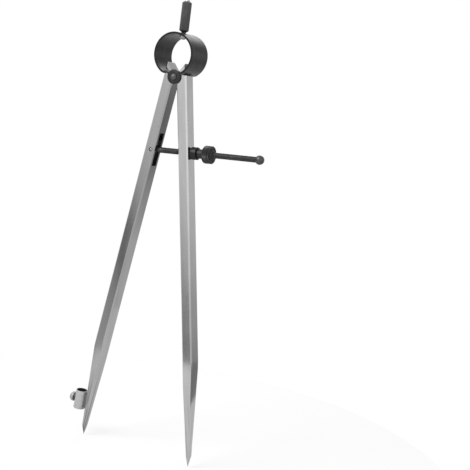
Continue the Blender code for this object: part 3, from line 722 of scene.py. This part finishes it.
def camera():
    """The camera at the photograph's angle."""
    back = Vector((sin(CAMERA_YAW) * cos(CAMERA_PITCH), -cos(CAMERA_YAW) * cos(CAMERA_PITCH),
                   sin(CAMERA_PITCH)))
    across = Vector((cos(CAMERA_YAW), sin(CAMERA_YAW), 0))
    up = back.cross(across)
    right = across * cos(CAMERA_ROLL) - up * sin(CAMERA_ROLL)
    top = across * sin(CAMERA_ROLL) + up * cos(CAMERA_ROLL)
    place = PIVOT + CAMERA_AIM + back * CAMERA_DISTANCE
    data = bpy.data.cameras.new("camera")
    data.lens = CAMERA_LENS
    data.sensor_width = SENSOR_WIDTH
    data.sensor_fit = "HORIZONTAL"
    made = bpy.data.objects.new("camera", data)
    bpy.context.collection.objects.link(made)
    turn = Matrix((right, top, back)).transposed().to_4x4()
    made.matrix_world = Matrix.Translation(place) @ turn
    bpy.context.scene.camera = made


def softbox(name, place, aim, size, power):
    """A soft square lamp that shines at a point."""
    data = bpy.data.lights.new(name, "AREA")
    data.shape = "SQUARE"
    data.size = size
    data.energy = power
    made = bpy.data.objects.new(name, data)
    bpy.context.collection.objects.link(made)
    turn = (Vector(place) - Vector(aim)).to_track_quat("Z", "Y").to_matrix().to_4x4()
    made.matrix_world = Matrix.Translation(place) @ turn


def studio(sky):
    """The light from each direction. The backdrop behind the compass is white. The front, the right
    and what lies behind to the right are greyer, with a dark gap at the table's edge, which ground
    steel shows as soft dark bands. A ramp's stops run from straight down, 0, past the horizon, 0.5, to
    straight up, 1."""
    direction = sky.node("TexCoord", output="Generated")
    x, y, z = [sky.node("SeparateXYZ", None, {0: direction}, output=axis) for axis in "XYZ"]
    height = z * 0.5 + 0.5
    slanted = z + (x - BAND_CENTRE) * BAND_SLOPE
    front = sky.ramp(slanted * 0.5 + 0.5, (0.36, 0.54), (0.3875, 0.41), (0.3975, 0.32), (0.4025, 0.15),
                     (0.4075, 0.02), (0.42, 0.02), (0.424, 0.10), (0.4285, 0.32), (0.435, 0.52),
                     (0.4425, 0.62), (0.455, 0.74), (0.475, 0.82), (0.50, 0.84), (0.55, 0.95),
                     (1.0, 0.9))
    table = sky.ramp(height, (0.31, 1), (0.33, 0))
    front = sky.mix(table, front, grey(0.85))
    behind = sky.ramp(height, (0.265, 0.30), (0.279, 0.70), (0.30, 0.42), (0.32, 0.68), (0.34, 0.68),
                      (0.364, 0.46), (0.3725, 0.44), (0.381, 0.34), (0.39, 0.20), (0.40, 0.23),
                      (0.415, 0.20), (0.444, 0.42), (0.471, 0.47), (0.49, 0.58), (0.515, 0.69),
                      (0.57, 0.66), (0.65, 0.28), (0.9, 0.3))
    right = sky.ramp(height, (0.25, 0.65), (0.36, 0.72), (0.39, 0.78), (0.42, 0.62), (0.48, 0.56),
                     (0.50, 0.67), (0.53, 0.95), (0.60, 1.2), (0.75, 0.9))
    to_right = sky.ramp(x, (0.0, 0), (0.2, 1))
    to_side = sky.ramp(x, (0.58, 0), (0.74, 1))
    to_back = sky.ramp(y * 0.5 + 0.5, (0.47, 0), (0.53, 1))
    back = sky.mix(to_right, grey(1), behind)
    return sky.mix(to_side, sky.mix(to_back, front, back), right)


def lights():
    """The studio round the compass, and two soft lamps."""
    world = bpy.data.worlds.new("surround")
    bpy.context.scene.world = world
    world.use_nodes = True
    sky = Shader(world.node_tree)
    glow = sky.node("Background", None, {"Color": studio(sky), "Strength": 1.0})
    sky.node("OutputWorld", None, {"Surface": glow})
    softbox("key_lamp", *KEY_LAMP)
    softbox("rim_lamp", *RIM_LAMP)


def floor():
    """A plain white floor under the points, which keeps a faint shadow."""
    material, paint = new_shader("floor_white")
    direct = paint.node("LightPath", output="Is Camera Ray")
    mirrored = paint.node("LightPath", output="Is Glossy Ray")
    through = paint.node("LightPath", output="Is Transmission Ray")
    matt = paint.node("BsdfDiffuse", None, {"Color": grey(0.9)})
    tint = paint.mix(mirrored, grey(1), grey(0.65))
    white = paint.node("Emission", None, {"Color": tint, "Strength": 1.0})
    seen = paint.maths("MAXIMUM", paint.maths("MAXIMUM", direct, mirrored), through)
    surface = paint.node("MixShader", None, {0: seen * FLOOR_WHITE_SHARE, 1: matt, 2: white})
    paint.node("OutputMaterial", None, {"Surface": surface})
    mesh = bmesh.new()
    place = Matrix.Translation((0, 0, CAD_BOX[0][2] - FLOOR_DROP))
    bmesh.ops.create_circle(mesh, cap_ends=True, segments=FINE, radius=FLOOR_RADIUS, matrix=place)
    data = bpy.data.meshes.new("floor")
    mesh.to_mesh(data)
    mesh.free()
    data.materials.append(material)
    made = bpy.data.objects.new("floor", data)
    bpy.context.collection.objects.link(made)


camera()
floor()
lights()
legs()
bow()
handle()
pivot()
spindle()
washer_and_nut()
sleeve()
bpy.context.scene.view_settings.view_transform = "Standard"
